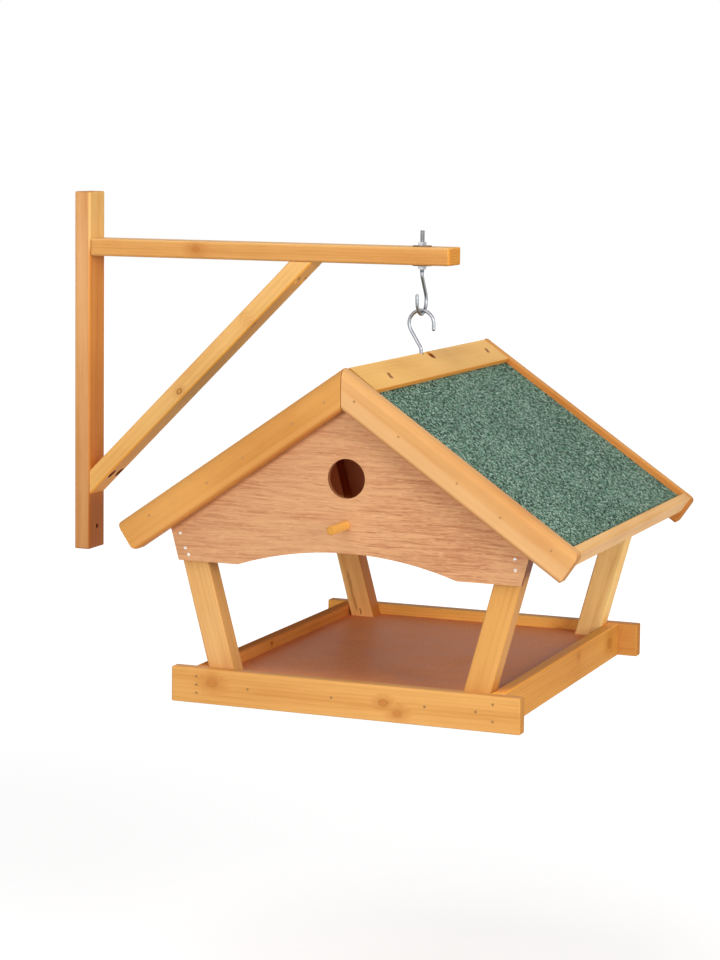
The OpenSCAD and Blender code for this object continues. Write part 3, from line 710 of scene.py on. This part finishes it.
# one side of each leg is painted darker: painted shade
LEG_SIDE_SHADE = (0.92, 0.84, 0.68)
ROOF_SHADOW_ON_LEGS = (
    PaintedSideLight(BREADTH, -1, PAINTED_ROOF_SHADOW, fade=ROOF_SHADOW_FADE),
    PaintedSideLight(DEPTH, -1, PAINTED_ROOF_SHADOW, fade=ROOF_SHADOW_FADE),
)
RESIN_STREAKS = (
    Scar(-58.0, 6.5, half_length=24.0, half_width=1.8, axis=DEPTH, share=0.5),
    Scar(-80.0, 2.9, half_length=3.8, half_width=1.0, axis=DEPTH, share=0.8),
)
# the back legs are given paler colours: painted light against the roof's shade
LEGS = (
    ("leg_front_left", LEG_LEFT, LEG_COLOUR, LEG_SIDE_SHADE, ()),
    ("leg_front_right", LEG_RIGHT, stain(215, 157, 86), LEG_SIDE_SHADE, ()),
    ("leg_back_left", LEG_LEFT, stain(255, 196, 120), (0.60, 0.35, 0.16), RESIN_STREAKS),
    ("leg_back_right", LEG_RIGHT, stain(255, 209, 134), LEG_SIDE_SHADE, ()),
)
for number, (leg, turn, colour, side_shade, streaks) in enumerate(LEGS):
    board(
        leg, colour, turn, half=LEG_HALF, pith=(14 + 5 * number, 16 - 9 * number), ring=2.6,
        scars=streaks, soaked=(*ROOF_SHADOW_ON_LEGS, PaintedSideLight(DEPTH, -1, side_shade)), seed=9.0 + 1.7 * number,
    )

BARGE_HALF = (0.0075, 0.015)
# the barge boards' undersides and the back ones' inner faces are painted darker: painted shade
PAINTED_UNDERSIDE_SHADE = PaintedSideLight(DEPTH, -1, (0.78, 0.62, 0.52), share=0.8)
PAINTED_INNER_SHADE = PaintedSideLight(BREADTH, -1, (0.96, 0.78, 0.66))
BARGE_BOARDS = (
    ("barge_front_left", DOWN_LEFT, BARGE_LEFT_COLOUR, None, (PAINTED_UNDERSIDE_SHADE,)),
    ("barge_front_right", DOWN_RIGHT, BARGE_RIGHT_COLOUR, -4.5, (PAINTED_UNDERSIDE_SHADE,)),
    ("barge_back_left", DOWN_LEFT, BARGE_RIGHT_COLOUR, None, (PAINTED_UNDERSIDE_SHADE, PAINTED_INNER_SHADE)),
    ("barge_back_right", DOWN_RIGHT, BARGE_LEFT_COLOUR, None, (PAINTED_UNDERSIDE_SHADE, PAINTED_INNER_SHADE)),
)
for number, (barge, turn, colour, sapwood, sides) in enumerate(BARGE_BOARDS):
    board(
        barge, colour, turn, half=BARGE_HALF, pith=(26 - 4 * number, 12 + 7 * number), ring=3.2,
        contrast=0.45, cloudy=1.2, sapwood=sapwood, soaked=sides, seed=17.0 + 2.3 * number,
    )
for number, eave in enumerate(("eave_board_left", "eave_board_right")):
    board(eave, EAVE_COLOUR, ALONG_RIDGE, pith=(18, 22 - 30 * number), ring=2.5, seed=27.0 + 1.9 * number)

RIDGE_HALF = (0.016, 0.0025)
STRAY_BORE = Bore(14.0, 11.2, radius=5.0)
STAPLE_BRUISES = tuple(
    Scar(along, across, half_length, half_width, axis=BREADTH, share=0.95)
    for along, across, half_length, half_width in (
        (-120.0, -0.4, 3.0, 2.6),
        (-122.5, -3.7, 3.2, 3.4),
        (155.0, 3.6, 3.0, 2.6),
        (152.5, 0.7, 3.2, 3.4),
    )
)
RIDGE_BOARDS = (
    ("ridge_board_left", -ROOF_SLOPE, 1, ()),
    ("ridge_board_right", ROOF_SLOPE, -1, (STRAY_BORE,)),
)
# one edge of each ridge board is painted darker: painted shade
for number, (ridge, slope, edge_way, bores) in enumerate(RIDGE_BOARDS):
    turned = Matrix.Rotation(slope, 3, "Y") @ Matrix.Rotation(QUARTER_TURN, 3, "Z")
    board(
        ridge, RIDGE_COLOUR, tuple(turned.to_euler()), half=RIDGE_HALF, pith=(20, 14), ring=3.0,
        contrast=0.55, cloudy=1.1, scars=STAPLE_BRUISES, bores=bores,
        soaked=(PaintedSideLight(BREADTH, edge_way, (1.0, 0.72, 0.40)),), seed=31.0 + 3.1 * number,
    )
board("ridge_beam", SHADED_INSIDE_COLOUR, ALONG_RIDGE, pith=(12, 20), ring=2.6, seed=37.0)
wear(
    "perch",
    timber(
        "perch_dowel", centre_of("perch"), ALONG_RIDGE, (0.004, 0.004), PERCH_COLOUR,
        pith=(6, 9), ring=1.3, contrast=0.6, seed=4.4,
    ),
)

GABLE_HALF_DEPTH = 2.5 * MM
PANEL_HALF_DEPTH = 3.0 * MM
peak_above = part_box("barge_front_left")[1].z - centre_of("front_gable").z
for gable, flame, shaded_way, seed in (
    ("front_gable", (0.085, -0.04), -1, 0.0),
    ("back_gable", (-0.05, -0.02), 1, 3.0),
):
    plywood = veneer(
        gable + "_ply", centre_of(gable), FACING_FRONT, GABLE_COLOUR, GABLE_HALF_DEPTH,
        flame=flame, shaded_way=shaded_way, shadow_peak=peak_above, seed=seed,
    )
    wear(gable, plywood)
for side, slope, turn in (("left", -ROOF_SLOPE, DOWN_LEFT), ("right", ROOF_SLOPE, DOWN_RIGHT)):
    panel = "roof_panel_" + side
    centre = centre_of(panel)
    wear(panel, veneer(panel + "_ply", centre, turn, SHADED_INSIDE_COLOUR, PANEL_HALF_DEPTH, seed=8.0 + slope))
    felt = "roof_felt_" + side
    wear(felt, mineral_felt(felt + "_slate", centre_of(felt), turn, seed=2.0 + slope))
wear("tray_floor", film_faced("tray_floor"))

ZINC_WIRE = stain(150, 152, 157)
stud_middle = centre_of("upper_hook_nuts").x
beam_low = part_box("ridge_beam")[0].z
nuts_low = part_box("upper_hook_nuts")[0].z
hook_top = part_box("upper_hook")[1].z
upper_thread = Thread(stud_middle, nuts_low - 3.0 * MM, hook_top)
ridge_thread = Thread(stud_middle, beam_low - 20.0 * MM, beam_low)
wear("upper_hook", zinc("threaded_hook_wire", ZINC_WIRE, thread=upper_thread))
wear("ridge_hook", zinc("ridge_hook_wire", ZINC_WIRE, thread=ridge_thread))
plated = zinc("zinc_nuts", stain(178, 180, 184), rough=0.36, mottled=0.5)
# the washers are brown and painted dark: their own brown colour, and painted shade under the arm
brown_shaded_washers = zinc("washers_brown_and_painted_dark", stain(122, 92, 62), rough=0.50, mottled=0.6, metallic=0.45)
for name, finish in (
    ("upper_hook_nuts", plated),
    ("ridge_hook_nut", plated),
    ("upper_hook_washers", brown_shaded_washers),
    ("ridge_hook_washer", brown_shaded_washers),
    ("brace_screws", driven("blackened_screws", stain(44, 32, 24))),
    ("arm_screws", driven("post_screws", stain(150, 146, 138))),
    ("tray_nails", driven("tray_nail_heads", stain(156, 108, 60))),
    ("barge_nails", driven("barge_nail_heads", stain(184, 130, 76))),
    ("ridge_staples", driven("staple_wire", stain(74, 40, 18))),
    ("gable_pins", white_enamel("gable_pin_paint")),
):
    wear(name, finish)

PURE_WHITE = (1.0, 1.0, 1.0, 1.0)
FLOOR_WHITE = (0.82, 0.82, 0.82, 1.0)
FLOOR_HALF = 14.0
FLOOR_LEVEL = -0.78
AIR_LIGHT = 0.38
MIDDLE = Vector((0.30, 0.0, -0.18))


def studio_white(name):
    """Pale paper that burns out to white where it is seen, and keeps the object's shadow."""
    f = Finish(name)
    paper = f.node("ShaderNodeBsdfDiffuse", {}, {"Color": FLOOR_WHITE})
    across, along, _ = f.parts(f.node("ShaderNodeTexCoord", output="Object"))
    outward = ((across * across + along * along) ** 0.5).above(0.5, 2.4)
    strength = f.seen_directly() * (0.46 + outward * 0.30)
    glow = f.node("ShaderNodeEmission", {}, {"Color": PURE_WHITE, "Strength": strength})
    both = f.node("ShaderNodeAddShader", {}, {0: paper, 1: glow})
    f.node("ShaderNodeOutputMaterial", {}, {"Surface": both})
    return f.material


def studio_floor(name):
    """A square sheet below the object."""
    shape = bmesh.new()
    bmesh.ops.create_grid(shape, x_segments=1, y_segments=1, size=FLOOR_HALF)
    bmesh.ops.translate(shape, vec=(0.0, 0.0, FLOOR_LEVEL), verts=shape.verts)
    mesh = bpy.data.meshes.new(name)
    shape.to_mesh(mesh)
    shape.free()
    mesh.materials.append(studio_white("studio_paper"))
    floor = bpy.data.objects.new(name, mesh)
    bpy.context.scene.collection.objects.link(floor)


def studio_air(name):
    """Even white air, which lights the object less brightly than it is seen."""
    world = bpy.data.worlds.new(name)
    world.use_nodes = True
    air = Bench(world.node_tree)
    limits = {"To Min": AIR_LIGHT, "To Max": 1.0}
    level = air.node("ShaderNodeMapRange", {}, {"Value": air.seen_directly(), **limits})
    glow = air.node("ShaderNodeBackground", {}, {"Color": PURE_WHITE, "Strength": level})
    air.node("ShaderNodeOutputWorld", {}, {"Surface": glow})
    bpy.context.scene.world = world


def softbox(name, place, width, depth, power):
    """A square soft lamp that looks at the middle of the object."""
    lamp = bpy.data.lights.new(name, "AREA")
    lamp.shape = "RECTANGLE"
    lamp.size = width
    lamp.size_y = depth
    lamp.energy = power
    lamp_object = bpy.data.objects.new(name, lamp)
    lamp_object.location = place
    lamp_object.rotation_euler = (MIDDLE - Vector(place)).to_track_quat("-Z", "Y").to_euler()
    bpy.context.scene.collection.objects.link(lamp_object)


studio_floor("studio_floor")
studio_air("studio_air")
softbox("key_right", (2.6, -1.3, 0.42), width=1.3, depth=1.1, power=35.0)
softbox("front", (0.5, -2.8, 0.32), width=1.8, depth=0.9, power=25.0)
softbox("overhead", (0.3, -1.3, 2.2), width=1.5, depth=1.2, power=22.0)

# A pinhole camera fitted to the photograph. Its axis meets the picture at AXIS_COLUMN, AXIS_ROW.
TARGET = Vector((0.3017, -0.016, -0.1165))
DISTANCE = 2.3895
YAW = math.radians(21.72)
PITCH = math.radians(5.15)
ROLL = math.radians(0.62)
FOCAL_PIXELS = 2550.0
FRAME_WIDTH, FRAME_HEIGHT = 720, 960
AXIS_COLUMN, AXIS_ROW = 360.0, 370.0

back = Vector((math.sin(YAW) * math.cos(PITCH), -math.cos(YAW) * math.cos(PITCH), math.sin(PITCH)))
level_right = Vector((math.cos(YAW), math.sin(YAW), 0.0))
level_up = back.cross(level_right)
right = math.cos(ROLL) * level_right + math.sin(ROLL) * level_up
up = math.cos(ROLL) * level_up - math.sin(ROLL) * level_right
looking = Matrix((right, up, back)).transposed().to_4x4()
lens = bpy.data.cameras.new("photographer")
lens.sensor_width = 36.0
lens.lens = FOCAL_PIXELS * lens.sensor_width / FRAME_HEIGHT
lens.shift_x = (FRAME_WIDTH / 2 - AXIS_COLUMN) / FRAME_HEIGHT
lens.shift_y = (AXIS_ROW - FRAME_HEIGHT / 2) / FRAME_HEIGHT
lens.clip_start = 0.1
lens.clip_end = 60.0
camera = bpy.data.objects.new("photographer", lens)
camera.matrix_world = Matrix.Translation(TARGET + DISTANCE * back) @ looking
bpy.context.scene.collection.objects.link(camera)
bpy.context.scene.camera = camera
bpy.context.scene.view_settings.view_transform = "Standard"
